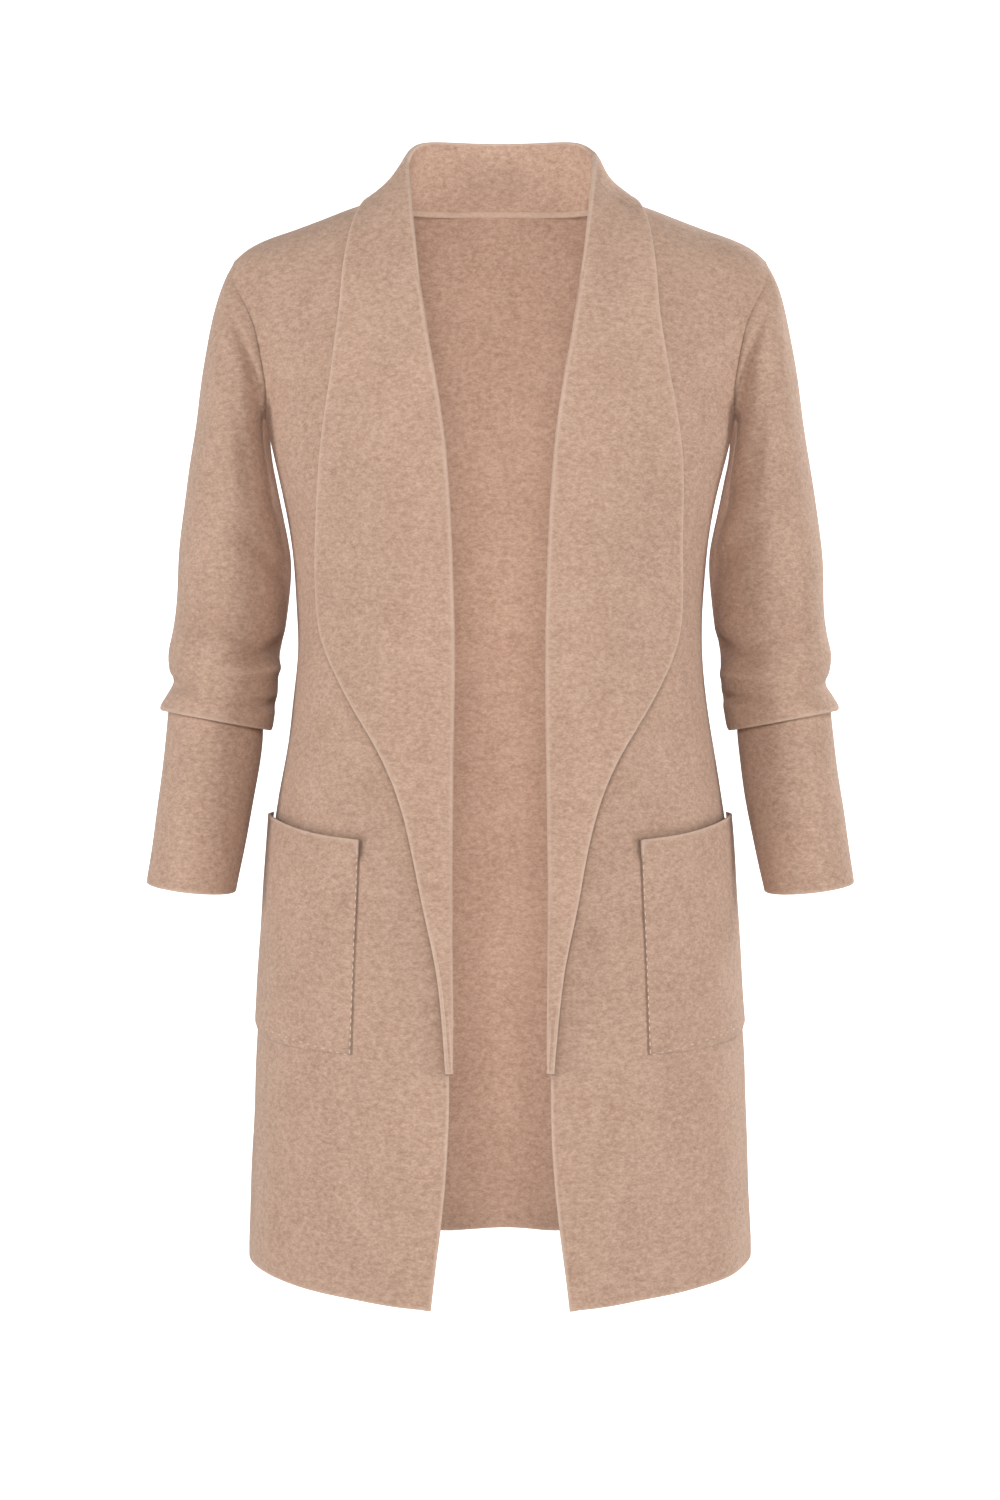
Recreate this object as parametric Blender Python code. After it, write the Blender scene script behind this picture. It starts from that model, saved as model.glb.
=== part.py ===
# Open-front duster cardigan with a wide shawl collar, pushed-up sleeves and two patch pockets.
# It keeps the hollow form in which it is worn. Metres, +Z up, the wearer faces -Y and the
# wearer's left side is +X. The origin is level with the neck points, midway between the shoulders.

import math

import bmesh
import bpy
import numpy as np
from mathutils import Vector

# Cloth and seams
CLOTH = 0.0020          # thickness of the double-faced knit
SEAM_GAP = 0.0003       # between two pieces at a seam
SQUARENESS = 2.3        # 2 is an ellipse, more is a squarer body section

# Neck and shoulders
NECK_HALF_WIDTH = 0.088
NECK_POINT_LEVEL = 0.005
NECK_DIP = 0.005        # the centre back neck seam lies this much below the neck points
NECK_RISE = 0.022       # how far the rounded form would go on above the neck seam at the centre
SHOULDER_TIP = 0.212
SHOULDER_TIP_LEVEL = -0.046
UNDERARM_LEVEL = -0.1925
FRONT_ROUNDING = 0.220  # height over which the chest rounds forward from the shoulder line
BACK_ROUNDING = 0.150

PROBE = 0.002           # distance over which the surface's direction is measured
PROBE_DROP = 0.004      # it is measured this far below an edge, because the form ends at the seam

# Grid of the panels
ARMHOLE_STEPS = 10      # rows from the shoulder seam down to the underarm
FRONT_STEPS = 10        # columns from the collar seam to the side
NECK_STEPS = 6          # columns of the back, from its centre to a neck point
SHOULDER_STEPS = 5      # columns of the back, from a neck point to the side
SHAPE_FADE = 0.160      # height below the underarm over which rows turn level

# Hem
SIDE_HEM = -0.8355
FRONT_HEM = -0.8540
BACK_HEM = -0.8405

# The body by level: half its width, and its depth in front of and behind the side seams.
BODY_COLUMNS = ("level", "half_width", "front_depth", "back_depth")
BODY = [
    (-0.860, 0.1990, 0.146, 0.112),
    (-0.796, 0.1980, 0.146, 0.112),
    (-0.703, 0.1944, 0.143, 0.110),
    (-0.634, 0.1915, 0.141, 0.109),
    (-0.578, 0.1880, 0.139, 0.108),
    (-0.530, 0.1825, 0.136, 0.106),
    (-0.479, 0.1765, 0.134, 0.104),
    (-0.406, 0.1655, 0.131, 0.098),
    (-0.350, 0.1595, 0.130, 0.094),
    (-0.284, 0.1635, 0.131, 0.096),
    (-0.236, 0.1725, 0.130, 0.099),
    (-0.1925, 0.1840, 0.128, 0.101),
    (-0.184, 0.1852, 0.127, 0.101),
    (-0.164, 0.1925, 0.125, 0.102),
    (-0.124, 0.2120, 0.121, 0.103),
    (-0.080, 0.2300, 0.118, 0.104),
    (-0.038, 0.2400, 0.118, 0.104),
    (0.060, 0.2400, 0.118, 0.104),
]

# The shoulder line, from the neck point outwards.
SHOULDER_COLUMNS = ("across", "level")
SHOULDER = [
    (0.088, 0.005),
    (0.108, 0.000),
    (0.160, -0.020),
    (0.184, -0.028),
    (0.204, -0.038),
    (0.212, -0.046),
]

# How far out the armhole seam lies.
ARMHOLE_COLUMNS = ("level", "across")
ARMHOLE = [
    (-0.1925, 0.1840),
    (-0.184, 0.1815),
    (-0.164, 0.1825),
    (-0.151, 0.1850),
    (-0.124, 0.1900),
    (-0.100, 0.1985),
    (-0.080, 0.2065),
    (-0.062, 0.2115),
    (-0.046, 0.2120),
]

# The inner edge of a front, which carries the collar seam down to LAPEL_END and is bare below it.
FRONT_EDGE_COLUMNS = ("level", "across")
FRONT_EDGE = [
    (-0.858, 0.0525),
    (-0.823, 0.0487),
    (-0.796, 0.0440),
    (-0.736, 0.0390),
    (-0.690, 0.0375),
    (-0.638, 0.0400),
    (-0.586, 0.0425),
    (-0.536, 0.0440),
    (-0.459, 0.0435),
    (-0.382, 0.0425),
    (-0.292, 0.0440),
    (-0.234, 0.0465),
    (-0.187, 0.0515),
    (-0.131, 0.0615),
    (-0.066, 0.0730),
    (-0.016, 0.0835),
    (0.005, 0.0880),
]

# The roll line, where the lapel folds over.
ROLL_COLUMNS = ("level", "across")
ROLL = [
    (-0.690, 0.0355),
    (-0.638, 0.0350),
    (-0.536, 0.0359),
    (-0.459, 0.0350),
    (-0.382, 0.0340),
    (-0.292, 0.0355),
    (-0.234, 0.0380),
    (-0.187, 0.0430),
    (-0.131, 0.0530),
    (-0.066, 0.0610),
    (-0.016, 0.0665),
    (0.039, 0.0708),
    (0.060, 0.0700),
]

# The collar at the front stations, by the level of its seam: how far the roll stands above the
# seam, how far out the loose edge reaches, how far that edge is lifted off the front, and the
# radius of the roll.
LAPEL_COLUMNS = ("level", "roll_rise", "edge_across", "edge_lift", "roll_radius")
LAPEL = [
    (-0.676, 0.000, 0.0395, 0.0035, 0.0014),
    (-0.655, 0.000, 0.0410, 0.0040, 0.0016),
    (-0.620, 0.000, 0.0434, 0.0050, 0.0020),
    (-0.604, 0.000, 0.0451, 0.0055, 0.0022),
    (-0.580, 0.000, 0.0484, 0.0065, 0.0026),
    (-0.548, 0.000, 0.0574, 0.0080, 0.0029),
    (-0.516, 0.000, 0.0620, 0.0090, 0.0030),
    (-0.491, 0.000, 0.0672, 0.0095, 0.0030),
    (-0.468, 0.000, 0.0726, 0.0095, 0.0030),
    (-0.447, 0.000, 0.0818, 0.0095, 0.0030),
    (-0.426, 0.000, 0.0925, 0.0090, 0.0030),
    (-0.407, 0.000, 0.1064, 0.0080, 0.0030),
    (-0.386, 0.000, 0.1162, 0.0070, 0.0030),
    (-0.372, 0.000, 0.1233, 0.0065, 0.0030),
    (-0.352, 0.000, 0.1304, 0.0060, 0.0030),
    (-0.332, 0.000, 0.1338, 0.0055, 0.0030),
    (-0.300, 0.000, 0.1348, 0.0050, 0.0030),
    (-0.2345, 0.000, 0.1345, 0.0045, 0.0030),
    (-0.187, 0.003, 0.1332, 0.0045, 0.0030),
    (-0.170, 0.004, 0.1305, 0.0045, 0.0030),
    (-0.139, 0.008, 0.1248, 0.0045, 0.0029),
    (-0.112, 0.012, 0.1213, 0.0045, 0.0028),
    (-0.086, 0.016, 0.1182, 0.0045, 0.0027),
    (-0.055, 0.021, 0.1165, 0.0043, 0.0026),
    (-0.026, 0.027, 0.1123, 0.0040, 0.0024),
    (-0.014, 0.030, 0.1095, 0.0038, 0.0023),
    (-0.004, 0.032, 0.1050, 0.0042, 0.0022),
    (0.005, 0.034, 0.1010, 0.0045, 0.0022),
]
LAPEL_END = -0.676
STAND_HEIGHT_BACK = 0.0590
STAND_HEIGHT_SIDE = 0.034
STAND_LEAN = 0.0035     # the stand leans in by this much at the centre back
BACK_EDGE_LIFT = 0.0055
FALL_OVERLAP = 0.016    # the collar's loose edge lies this far below the neck seam at the back
STAND_STEPS = 2
ROLL_STEPS = 4
FALL_STEPS = 5
HANGING_FROM = 1.6      # the fall hangs free where the stand has 1 / 1.6 of its side height
FALL_SAG = 0.005        # at the shoulder the fall hollows in towards the neck by half of this

# The left sleeve from the armhole to the cuff: the outer and inner ends of each ring, and its
# depth in front of and behind its middle, which is set back from the seams' plane. Rows 15 to 20
# are the pushed-up fold, where the cloth turns back up inside and down again.
SLEEVE_COLUMNS = ("outer_across", "outer_level", "inner_across", "inner_level", "front", "back", "set_back")
SLEEVE = [
    (0.2120, -0.0460, 0.1840, -0.1925, 0.0530, 0.0520, 0.000),
    (0.2175, -0.0545, 0.1872, -0.1960, 0.0560, 0.0550, 0.000),
    (0.2235, -0.0700, 0.1868, -0.2030, 0.0595, 0.0580, 0.000),
    (0.2295, -0.0950, 0.1840, -0.2130, 0.0620, 0.0600, 0.000),
    (0.2355, -0.1300, 0.1795, -0.2270, 0.0635, 0.0610, 0.001),
    (0.2412, -0.1700, 0.1750, -0.2450, 0.0635, 0.0610, 0.003),
    (0.2480, -0.2100, 0.1708, -0.2650, 0.0630, 0.0610, 0.005),
    (0.2540, -0.2480, 0.1678, -0.2860, 0.0620, 0.0610, 0.006),
    (0.2578, -0.2850, 0.1695, -0.3100, 0.0610, 0.0600, 0.006),
    (0.2578, -0.3160, 0.1718, -0.3330, 0.0600, 0.0600, 0.005),
    (0.2605, -0.3420, 0.1755, -0.3540, 0.0600, 0.0600, 0.004),
    (0.2655, -0.3610, 0.1775, -0.3710, 0.0605, 0.0605, 0.002),
    (0.2635, -0.3730, 0.1768, -0.3840, 0.0590, 0.0600, 0.000),
    (0.2600, -0.3840, 0.1780, -0.3960, 0.0570, 0.0580, -0.002),
    (0.2655, -0.3930, 0.1800, -0.4070, 0.0570, 0.0580, -0.004),
    (0.2713, -0.4020, 0.1815, -0.4180, 0.0575, 0.0580, -0.006),
    (0.2698, -0.4045, 0.1830, -0.4205, 0.0560, 0.0565, -0.006),
    (0.2679, -0.4025, 0.1849, -0.4185, 0.0542, 0.0547, -0.006),
    (0.2666, -0.3960, 0.1866, -0.4120, 0.0526, 0.0531, -0.006),
    (0.2650, -0.3935, 0.1882, -0.4095, 0.0510, 0.0515, -0.006),
    (0.2632, -0.3955, 0.1900, -0.4115, 0.0493, 0.0498, -0.006),
    (0.2632, -0.4100, 0.1894, -0.4230, 0.0470, 0.0475, -0.009),
    (0.2658, -0.4440, 0.1930, -0.4550, 0.0445, 0.0450, -0.015),
    (0.2730, -0.5000, 0.2008, -0.5080, 0.0425, 0.0430, -0.024),
    (0.2768, -0.5290, 0.2062, -0.5370, 0.0415, 0.0420, -0.030),
    (0.2778, -0.5400, 0.2082, -0.5482, 0.0410, 0.0415, -0.032),
]
ARMHOLE_MEMORY = (1.0, 0.75, 0.45, 0.22, 0.08)  # how much of the armhole's own shape each ring keeps
UNDERARM_CLEAR = 0.0032  # the sleeve stands this far off the side at the underarm
UNDERARM_DROP = 0.0014   # and starts this far along its own length

# Patch pockets
POCKET_COLUMNS = ("along", "mouth", "foot")
POCKET = [
    (0.0, -0.5040, -0.6650),
    (0.25, -0.5008, -0.6640),
    (0.5, -0.4948, -0.6615),
    (0.75, -0.4895, -0.6575),
    (1.0, -0.4850, -0.6520),
]
POCKET_INNER_TOP = 0.1055
POCKET_INNER_FOOT = 0.1110
POCKET_ACROSS_STEPS = 7
POCKET_DOWN_STEPS = 8
POCKET_LIFT = 0.0025     # mid-cloth to mid-cloth
POCKET_GAPE = 0.0042     # extra at the mouth beside the side seam

COLOURS = {"cloth": (0.545, 0.375, 0.285)}
CLOTH_ROUGHNESS = 0.92


def column(table, names, wanted, at):
    """A smooth value of one column at a value of the table's first column."""
    keys = np.array([row[0] for row in table])
    values = np.array([row[names.index(wanted)] for row in table])
    gaps = np.diff(keys)
    slopes = np.diff(values) / gaps
    tangents = np.zeros(len(keys))
    tangents[0], tangents[-1] = slopes[0], slopes[-1]
    for i in range(1, len(keys) - 1):
        if slopes[i - 1] * slopes[i] > 0:
            before, after = 2 * gaps[i] + gaps[i - 1], gaps[i] + 2 * gaps[i - 1]
            tangents[i] = (before + after) / (before / slopes[i - 1] + after / slopes[i])
    at = min(max(at, keys[0]), keys[-1])
    i = min(int(np.searchsorted(keys, at, side="right")) - 1, len(gaps) - 1)
    t = (at - keys[i]) / gaps[i]
    return float(
        values[i] * (1 + 2 * t) * (1 - t) ** 2
        + values[i + 1] * t * t * (3 - 2 * t)
        + gaps[i] * tangents[i] * t * (1 - t) ** 2
        - gaps[i] * tangents[i + 1] * t * t * (1 - t)
    )


def mix(a, b, share):
    return a + (b - a) * share


def smooth_step(share):
    share = min(max(share, 0.0), 1.0)
    return share * share * (3 - 2 * share)


def unit(vector):
    return vector / np.linalg.norm(vector)


def half_width(level):
    return column(BODY, BODY_COLUMNS, "half_width", level)


def shoulder_level(across):
    return column(SHOULDER, SHOULDER_COLUMNS, "level", abs(across))


def neck_share(across):
    """1 at the centre, 0 from the neck points outwards."""
    return max(0.0, 1 - (across / NECK_HALF_WIDTH) ** 2)


def form_top(across):
    """The level at which the rounded body form would close above this place."""
    return shoulder_level(across) + (NECK_RISE - NECK_DIP) * neck_share(across)


def panel_top(across, behind):
    """The level of a panel's top edge: the neck seam of the back, and elsewhere the shoulder."""
    dip = NECK_DIP * neck_share(across) if behind else 0.0
    return shoulder_level(across) - dip


def depth(across, level, behind):
    """How far the cloth lies in front of or behind the plane of the side and shoulder seams."""
    full = column(BODY, BODY_COLUMNS, "back_depth" if behind else "front_depth", level)
    rounding = BACK_ROUNDING if behind else FRONT_ROUNDING
    below = min(max((form_top(across) - level) / rounding, 0.0), 1.0)
    share = min(abs(across) / half_width(level), 1.0)
    section = (1 - share**SQUARENESS) ** (1 / SQUARENESS)
    return full * section * math.sqrt(1 - (1 - below) ** 2)


def cloth_point(across, level, behind):
    side = 1 if behind else -1
    return np.array([across, side * (depth(across, level, behind) + SEAM_GAP / 2), level])


def outward(across, level, behind):
    """The direction that faces out of the body there."""
    right = cloth_point(across + PROBE, level, behind) - cloth_point(across - PROBE, level, behind)
    up = cloth_point(across, level + PROBE, behind) - cloth_point(across, level - PROBE, behind)
    normal = np.cross(right, up)
    if normal[1] * (1 if behind else -1) < 0:
        normal = -normal
    return unit(normal)


def row_levels():
    """The level of each row at the side, from the shoulder seam to the hem."""
    armhole = []
    for i in range(ARMHOLE_STEPS + 1):
        even = i / ARMHOLE_STEPS
        crowded = (1 - math.cos(math.pi * even)) / 2
        armhole.append(mix(SHOULDER_TIP_LEVEL, UNDERARM_LEVEL, (even + crowded) / 2))
    below = [-0.215, -0.245, -0.280, -0.312, -0.335, -0.355, -0.375, -0.398, -0.422, -0.448, -0.480]
    below += [-0.518, -0.556, -0.596, -0.636, LAPEL_END, -0.722, -0.768, -0.808, SIDE_HEM]
    return armhole + below


ROWS = row_levels()
LAPEL_ROWS = ROWS.index(LAPEL_END) + 1


def side_across(row):
    """How far out a panel reaches at a row: the armhole, then the side seam."""
    if row < ARMHOLE_STEPS:
        return column(ARMHOLE, ARMHOLE_COLUMNS, "across", ROWS[row])
    return half_width(ROWS[row])


def shaped(row):
    """1 where a row follows the shoulder line, 0 where it is level."""
    return 1 - smooth_step((UNDERARM_LEVEL - ROWS[row]) / SHAPE_FADE)


def row_level(row, across, behind):
    """A row's level at this place across the panel."""
    drop = SHOULDER_TIP_LEVEL - ROWS[row]
    follow = panel_top(across, behind) - drop
    hem = BACK_HEM if behind else FRONT_HEM
    hem_share = smooth_step((ROWS[LAPEL_ROWS] - ROWS[row]) / (ROWS[LAPEL_ROWS] - SIDE_HEM))
    level = ROWS[row] + (hem - SIDE_HEM) * hem_share * (1 - (across / side_across(row)) ** 2)
    share = shaped(row)
    return mix(level, follow, share)


def front_edge_across(row):
    """Where a row of the front ends at the collar seam or the bare front edge."""
    across = NECK_HALF_WIDTH
    for _ in range(8):
        across = column(FRONT_EDGE, FRONT_EDGE_COLUMNS, "across", row_level(row, across, False))
    return NECK_HALF_WIDTH if row == 0 else across


def front_across(row, share):
    """How far out a point of the front lies, share 0 at the inner edge and 1 at the side."""
    inner, outer = front_edge_across(row), side_across(row)
    width = max(half_width(ROWS[row]), outer)
    start, end = math.asin(inner / width), math.asin(min(outer / width, 1.0))
    low, high = math.sin(start), math.sin(end)
    return mix(inner, outer, (math.sin(mix(start, end, share)) - low) / (high - low))


def front_grid():
    grid = []
    for row in range(len(ROWS)):
        points = []
        for i in range(FRONT_STEPS + 1):
            across = front_across(row, i / FRONT_STEPS)
            points.append(cloth_point(across, row_level(row, across, False), False))
        grid.append(points)
    return np.array(grid)


def back_across(row, step):
    """How far out a column of the back lies, counted from the centre."""
    steps = NECK_STEPS + SHOULDER_STEPS
    if step <= NECK_STEPS:
        top = NECK_HALF_WIDTH * math.sin(math.pi / 2 * step / NECK_STEPS)
    else:
        top = mix(NECK_HALF_WIDTH, SHOULDER_TIP, (step - NECK_STEPS) / SHOULDER_STEPS)
    top *= side_across(row) / SHOULDER_TIP if row else 1.0
    outer = side_across(row)
    width = max(half_width(ROWS[row]), outer)
    level = width * math.sin(math.asin(min(outer / width, 1.0)) * step / steps)
    return mix(level, top, 1 - smooth_step(row / (ARMHOLE_STEPS + 4)))


def back_grid():
    steps = NECK_STEPS + SHOULDER_STEPS
    grid = []
    for row in range(len(ROWS)):
        points = []
        for step in range(-steps, steps + 1):
            across = math.copysign(back_across(row, abs(step)), step)
            points.append(cloth_point(across, row_level(row, across, True), True))
        grid.append(points)
    return np.array(grid)


def grid_normals(grid, closed=False):
    """A unit normal at each point, from its neighbours along both ways of the grid."""
    if closed:
        along = np.roll(grid, -1, axis=1) - np.roll(grid, 1, axis=1)
    else:
        along = np.gradient(grid, axis=1)
    down = np.gradient(grid, axis=0)
    normals = np.cross(along, down)
    return normals / np.linalg.norm(normals, axis=2, keepdims=True)


def wall(name, grid, normals, closed=False):
    """A closed wall of cloth, half its thickness to each side of the grid."""
    rows, columns = grid.shape[:2]
    mesh = bpy.data.meshes.new(name)
    shape = bmesh.new()
    layers = []
    for side in (0.5, -0.5):
        points = (grid + side * CLOTH * normals).reshape(-1, 3)
        layers.append([shape.verts.new(Vector(point)) for point in points])
    outer, inner = layers
    last = columns if closed else columns - 1
    for row in range(rows - 1):
        for i in range(last):
            corners = [row * columns + i, row * columns + (i + 1) % columns]
            corners += [corners[1] + columns, corners[0] + columns]
            shape.faces.new([outer[k] for k in corners])
            shape.faces.new([inner[k] for k in reversed(corners)])
    rims = [[(row, i) for i in range(columns)] for row in (0, rows - 1)]
    if closed:
        rims = [rim + rim[:1] for rim in rims]
    else:
        rims += [[(row, i) for row in range(rows)] for i in (0, columns - 1)]
    for rim in rims:
        for (row, i), (next_row, next_i) in zip(rim, rim[1:]):
            here, there = row * columns + i, next_row * columns + next_i
            shape.faces.new([outer[here], outer[there], inner[there], inner[here]])
    bmesh.ops.recalc_face_normals(shape, faces=shape.faces)
    shape.to_mesh(mesh)
    shape.free()
    mesh.shade_smooth()
    mesh.set_sharp_from_angle(angle=math.radians(40))
    mesh.materials.append(bpy.data.materials["cloth"])
    node = bpy.data.objects.new(name, mesh)
    bpy.context.scene.collection.objects.link(node)
    node.parent = bpy.data.objects["cardigan"]
    return node


def mirrored(grid, normals):
    """The same piece for the other side of the body."""
    flip = np.array([-1.0, 1.0, 1.0])
    return grid * flip, normals * flip


def collar_section(seam, roll, radius, out):
    """One section of the collar, up the stand and round the roll, which turns over to one side."""
    up = unit(roll - seam)
    out = unit(out - up * np.dot(out, up))
    turn = roll - up * radius + out * radius
    section = [mix(seam, turn - out * radius, i / STAND_STEPS) for i in range(STAND_STEPS)]
    for i in range(ROLL_STEPS + 1):
        angle = math.pi * i / ROLL_STEPS
        section.append(turn + radius * (up * math.sin(angle) - out * math.cos(angle)))
    return section


def hanging_fall(seam, start, edge, share=1.0):
    """The fall from the roll to the loose edge where it hangs free, hollowed in a little."""
    chord = unit(edge - start)
    inwards = seam - (start + edge) / 2
    inwards = unit(inwards - chord * np.dot(inwards, chord))
    control = (start + edge) / 2 + inwards * FALL_SAG * share
    points = []
    for i in range(FALL_STEPS + 1):
        t = i / FALL_STEPS
        points.append(start * (1 - t) ** 2 + control * 2 * t * (1 - t) + edge * t * t)
    return points


def front_station(row):
    """The collar's section where it joins a front, for the wearer's left side."""
    seam_across = front_edge_across(row)
    level = row_level(row, seam_across, False)
    seam = cloth_point(seam_across, level, False)
    rise = column(LAPEL, LAPEL_COLUMNS, "roll_rise", level)
    radius = column(LAPEL, LAPEL_COLUMNS, "roll_radius", level)
    lift = column(LAPEL, LAPEL_COLUMNS, "edge_lift", level)
    edge_across = column(LAPEL, LAPEL_COLUMNS, "edge_across", level)
    standing = min(rise / STAND_HEIGHT_SIDE, 1.0)
    roll_level = level + rise
    roll_across = column(ROLL, ROLL_COLUMNS, "across", roll_level)
    on_body = -depth(roll_across, roll_level, False)
    roll = np.array([roll_across, mix(on_body, seam[1], standing), roll_level])
    raised = []
    for i in range(FALL_STEPS + 1):
        share = i / FALL_STEPS
        across = mix(roll_across + radius, edge_across, share)
        here = row_level(row, across, False)
        if row == 0 and i == FALL_STEPS:
            here = shoulder_level(across)
        height = mix(2 * radius, lift, smooth_step(share))
        raised.append(cloth_point(across, here, False) + height * outward(across, here - PROBE_DROP, False))
    forward = outward(seam_across, level - PROBE_DROP, False)
    out = mix(forward, unit(raised[-1] - seam), smooth_step(standing))
    section = collar_section(seam, roll, radius, out)
    hanging = hanging_fall(seam, section[-1], raised[-1])
    for i in range(1, FALL_STEPS + 1):
        section.append(mix(raised[i], hanging[i], smooth_step(standing * HANGING_FROM)))
    return section


def back_station(step):
    """The collar's section where it joins the back, from a neck point to the centre."""
    share = step / NECK_STEPS
    across = back_across(0, step)
    seam = cloth_point(across, row_level(0, across, True), True)
    height = mix(STAND_HEIGHT_BACK, STAND_HEIGHT_SIDE, share**3)
    side_roll = column(ROLL, ROLL_COLUMNS, "across", NECK_POINT_LEVEL + STAND_HEIGHT_SIDE)
    inwards = side_roll / NECK_HALF_WIDTH
    roll = np.array([across * inwards, seam[1] - STAND_LEAN * (1 - share), seam[2] + height])
    edge_side = column(LAPEL, LAPEL_COLUMNS, "edge_across", NECK_POINT_LEVEL)
    edge_across = edge_side * math.sin(math.pi / 2 * share)
    overlap = FALL_OVERLAP * (1 - share**2)
    edge_level = panel_top(edge_across, True) - overlap
    radius = column(LAPEL, LAPEL_COLUMNS, "roll_radius", NECK_POINT_LEVEL)
    edge = cloth_point(edge_across, edge_level, True)
    edge = edge + BACK_EDGE_LIFT * outward(edge_across, edge_level - PROBE_DROP, True)
    section = collar_section(seam, roll, radius, edge - seam)
    return section + hanging_fall(seam, section[-1], edge, share)[1:]


def collar_grid():
    """The whole collar from the right lapel's foot, round the neck, to the left lapel's foot."""
    half = [front_station(row) for row in reversed(range(LAPEL_ROWS))]
    half[-1] = [
        mix(a, b, 0.5) * np.array([1, 0, 1]) for a, b in zip(half[-1], back_station(NECK_STEPS))
    ]
    half += [back_station(step) for step in range(NECK_STEPS - 1, -1, -1)]
    flip = np.array([-1.0, 1.0, 1.0])
    other = [[point * flip for point in section] for section in reversed(half[:-1])]
    return np.array(half + other)


def lowness(i, count):
    """0 at the top of the armhole loop and 1 at the underarm."""
    return ((1 - math.cos(2 * math.pi * i / count)) / 2) ** 1.5


def sleeve_grid(armhole):
    """The left sleeve's rings. Armhole is the loop of the panels, from the shoulder tip forwards."""
    count = len(armhole)
    lows = np.array([lowness(i, count) for i in range(count)])
    rings = []
    memory = None
    for k, row in enumerate(SLEEVE):
        ring = dict(zip(SLEEVE_COLUMNS, row))
        outer = np.array([ring["outer_across"], 0.0, ring["outer_level"]])
        inner = np.array([ring["inner_across"], 0.0, ring["inner_level"]])
        points = []
        for i in range(count):
            angle = 2 * math.pi * i / count
            reach = ring["front"] if math.sin(angle) > 0 else ring["back"]
            point = mix(inner, outer, (1 + math.cos(angle)) / 2)
            point[1] = ring["set_back"] - reach * math.sin(angle)
            points.append(point)
        points = np.array(points)
        if k == 0:
            memory = armhole - points
        if k < len(ARMHOLE_MEMORY):
            points = points + memory * ARMHOLE_MEMORY[k]
            points[:, 0] += UNDERARM_CLEAR * ARMHOLE_MEMORY[k] * lows
        rings.append(points)
    grid = np.array(rings)
    for i in range(count):
        ahead = unit(grid[1, i] - grid[0, i])
        grid[0, i] += ahead * mix(SEAM_GAP, UNDERARM_DROP, lows[i])
    return grid


def pocket_grid():
    """The left pocket, made from the front's own points moved out."""
    grid = []
    for down in range(POCKET_DOWN_STEPS + 1):
        fall = down / POCKET_DOWN_STEPS
        points = []
        for i in range(POCKET_ACROSS_STEPS + 1):
            along = i / POCKET_ACROSS_STEPS
            mouth = column(POCKET, POCKET_COLUMNS, "mouth", along)
            foot = column(POCKET, POCKET_COLUMNS, "foot", along)
            level = mix(mouth, foot, fall)
            inner = mix(POCKET_INNER_TOP, POCKET_INNER_FOOT, fall)
            width = half_width(level)
            angle = mix(math.asin(inner / width), math.pi / 2, along)
            across = width * math.sin(angle)
            gape = POCKET_GAPE * (1 - fall) ** 3 * along**1.5
            if i == POCKET_ACROSS_STEPS:
                normal = np.array([1.0, 0.0, 0.0])
            else:
                normal = outward(across, level, False)
            points.append(cloth_point(across, level, False) + (POCKET_LIFT + gape) * normal)
        grid.append(points)
    return np.array(grid)


def make_materials():
    for name, colour in COLOURS.items():
        material = bpy.data.materials.new(name)
        material.use_nodes = True
        shader = material.node_tree.nodes["Principled BSDF"]
        shader.inputs["Base Color"].default_value = (*colour, 1.0)
        shader.inputs["Roughness"].default_value = CLOTH_ROUGHNESS
        shader.inputs["Metallic"].default_value = 0.0


def flatten_to_seam_plane(normals):
    """End faces at the side and shoulder seams stand square to the plane of those seams."""
    normals[..., 1] = 0.0
    return normals / np.linalg.norm(normals, axis=-1, keepdims=True)


def facing(normals, away):
    """Normals turned to the same side as a direction given for each."""
    sign = np.sign(np.sum(normals * away, axis=-1, keepdims=True))
    return normals * np.where(sign == 0, 1, sign)


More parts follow.
